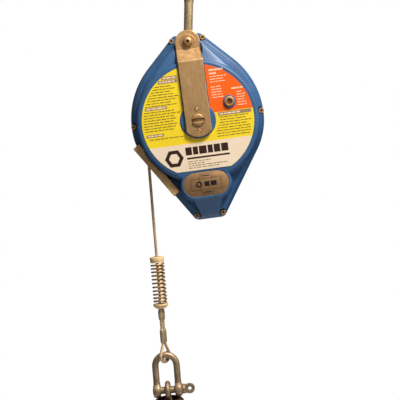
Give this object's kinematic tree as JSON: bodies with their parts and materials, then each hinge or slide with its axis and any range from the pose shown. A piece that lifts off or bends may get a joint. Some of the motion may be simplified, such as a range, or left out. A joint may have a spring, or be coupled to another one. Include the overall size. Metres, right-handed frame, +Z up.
{
  "type": "self retracting lifeline",
  "caption": "Cast teardrop fall-arrest block on a swinging eye, with a wire rope, spring buffer, shackle and swivel snap hook, and its drum, pawls and brake inside.",
  "frame": {"origin": "top of the suspension eye's hole, where the assembly hangs from", "axes": "+Z up along the hanging direction, front label faces -Y, +X to the right seen from the front"},
  "size_m": [0.2318, 0.0985, 0.8447],
  "materials": {
    "housing_paint": "blue enamel on cast aluminium, satin, worn at the edges",
    "zinc_plate": "zinc plated, warm satin",
    "forged_steel": "forged and plated, dull",
    "galvanised": "hot-dip galvanised, weathered",
    "wire_rope": "galvanised stranded wire",
    "cast_cup": "pale satin casting",
    "spring_steel": "oiled spring steel",
    "dark_steel": "dark brown oxide, rough",
    "label_film": "printed film in yellow, orange and cream",
    "etched_plate": "etched, brushed",
    "guide_block": "tan nylon",
    "bronze": "sintered bronze",
    "lining": "moulded friction lining",
    "machined": "machined casting, satin",
    "gasket": "black sheet gasket",
    "machined_steel": "turned steel, satin"
  },
  "bodies": {
    "suspension": {"suspension_eye": "forged_steel"},
    "housing": {"front_casing": "housing_paint", "rear_casing": "housing_paint", "casing_gasket": "gasket", "front_strap": "zinc_plate", "rear_strap": "zinc_plate", "suspension_bolt": "zinc_plate", "suspension_nut": "zinc_plate", "bolt_washer": "zinc_plate", "lug_spacer_front": "machined_steel", "lug_spacer_rear": "machined_steel", "main_shaft": "zinc_plate", "shaft_circlip": "spring_steel", "strap_dowel_1": "zinc_plate", "strap_dowel_2": "zinc_plate", "casing_bolt_1": "zinc_plate", "casing_bolt_2": "zinc_plate", "casing_bolt_3": "zinc_plate", "casing_bolt_4": "zinc_plate", "casing_bolt_5": "zinc_plate", "casing_bolt_6": "zinc_plate", "front_label": "label_film", "nameplate": "etched_plate", "access_plug": "zinc_plate", "rope_guide": "guide_block", "rope_inner_run": "wire_rope", "friction_disc_front": "lining", "friction_disc_rear": "lining", "brake_retaining_ring": "spring_steel", "brake_pressure_plate": "machined_steel", "brake_disc_spring": "spring_steel"},
    "drum_assembly": {"drum": "machined", "drum_bush_front": "bronze", "drum_bush_rear": "bronze", "rope_on_drum": "wire_rope", "power_spring": "spring_steel", "spring_cover": "zinc_plate", "pawl_pin_1": "machined_steel", "pawl_pin_2": "machined_steel"},
    "pawl_one": {"pawl_1": "machined_steel"},
    "pawl_two": {"pawl_2": "machined_steel"},
    "ratchet": {"ratchet_ring": "machined_steel"},
    "line_end": {"lifeline_rope": "wire_rope", "rope_eye": "wire_rope", "thimble": "galvanised", "upper_ferrule": "forged_steel", "lower_ferrule": "forged_steel", "buffer_spring": "spring_steel", "buffer_bottom_cup": "cast_cup"},
    "buffer_top": {"buffer_top_cup": "cast_cup"},
    "shackle": {"shackle_bow": "galvanised", "shackle_pin": "galvanised"},
    "swivel": {"swivel_eye": "galvanised", "swivel_housing": "dark_steel"},
    "hook": {"hook_body": "dark_steel", "gate_rivet": "machined_steel", "lock_rivet": "machined_steel"},
    "gate": {"hook_gate": "galvanised"},
    "lock": {"lock_lever": "galvanised"}
  },
  "joints": [
    {"name": "housing_swing", "type": "hinge", "parent": "suspension", "child": "housing", "pos_m": [-0.01163, 0, -0.12486], "axis": [0, 1, 0], "range_deg": [-16, 34]},
    {"name": "rope_payout", "type": "slide", "parent": "housing", "child": "line_end", "axis": [0, 0, -1], "range_m": [-0.131, 0.406], "stiffness_N_per_m": 20, "springref_m": -0.7, "deforming": ["lifeline_rope"]},
    {"name": "drum_spin", "type": "hinge", "parent": "housing", "child": "drum_assembly", "pos_m": [-0.00561, 0, -0.25247], "axis": [0, 1, 0], "range_deg": [-271, 88], "deforming": ["power_spring"]},
    {"name": "pawl_1_swing", "type": "hinge", "parent": "drum_assembly", "child": "pawl_one", "pos_m": [-0.07152, 0, -0.27607], "axis": [0, 1, 0], "range_deg": [0, 12], "stiffness_Nm_per_rad": 0.02, "springref_deg": -17.19},
    {"name": "pawl_2_swing", "type": "hinge", "parent": "drum_assembly", "child": "pawl_two", "pos_m": [0.06029, 0, -0.22887], "axis": [0, 1, 0], "range_deg": [0, 12], "stiffness_Nm_per_rad": 0.02, "springref_deg": -17.19},
    {"name": "brake_slip", "type": "hinge", "parent": "housing", "child": "ratchet", "pos_m": [-0.00561, 0, -0.25247], "axis": [0, 1, 0], "continuous": true},
    {"name": "buffer_compress", "type": "slide", "parent": "line_end", "child": "buffer_top", "axis": [0, 0, -1], "range_m": [0, 0.03], "stiffness_N_per_m": 400, "springref_m": -0.005, "deforming": ["buffer_spring"]},
    {"name": "shackle_swing", "type": "hinge", "parent": "line_end", "child": "shackle", "pos_m": [-0.09181, 0, -0.62635], "axis": [1, 0, 0], "range_deg": [-15, 15]},
    {"name": "swivel_swing", "type": "hinge", "parent": "shackle", "child": "swivel", "pos_m": [-0.09181, 0, -0.684], "axis": [1, 0, 0], "range_deg": [-70, 70]},
    {"name": "hook_swivel", "type": "hinge", "parent": "swivel", "child": "hook", "pos_m": [-0.09181, 0, -0.72], "axis": [0, 0, 1], "continuous": true},
    {"name": "gate_open", "type": "hinge", "parent": "hook", "child": "gate", "pos_m": [-0.07881, 0, -0.751], "axis": [0, 1, 0], "range_deg": [0, 42], "stiffness_Nm_per_rad": 0.05, "springref_deg": -22.92},
    {"name": "lock_press", "type": "hinge", "parent": "hook", "child": "lock", "pos_m": [-0.10981, 0, -0.743], "axis": [0, 1, 0], "range_deg": [-8.6, 0]}
  ],
  "couplings": [
    {"joint": "drum_spin", "follows": "rope_payout", "rad_per_m": -11.601},
    {"joint": "lock_press", "follows": "gate_open", "ratio": -0.2}
  ]
}
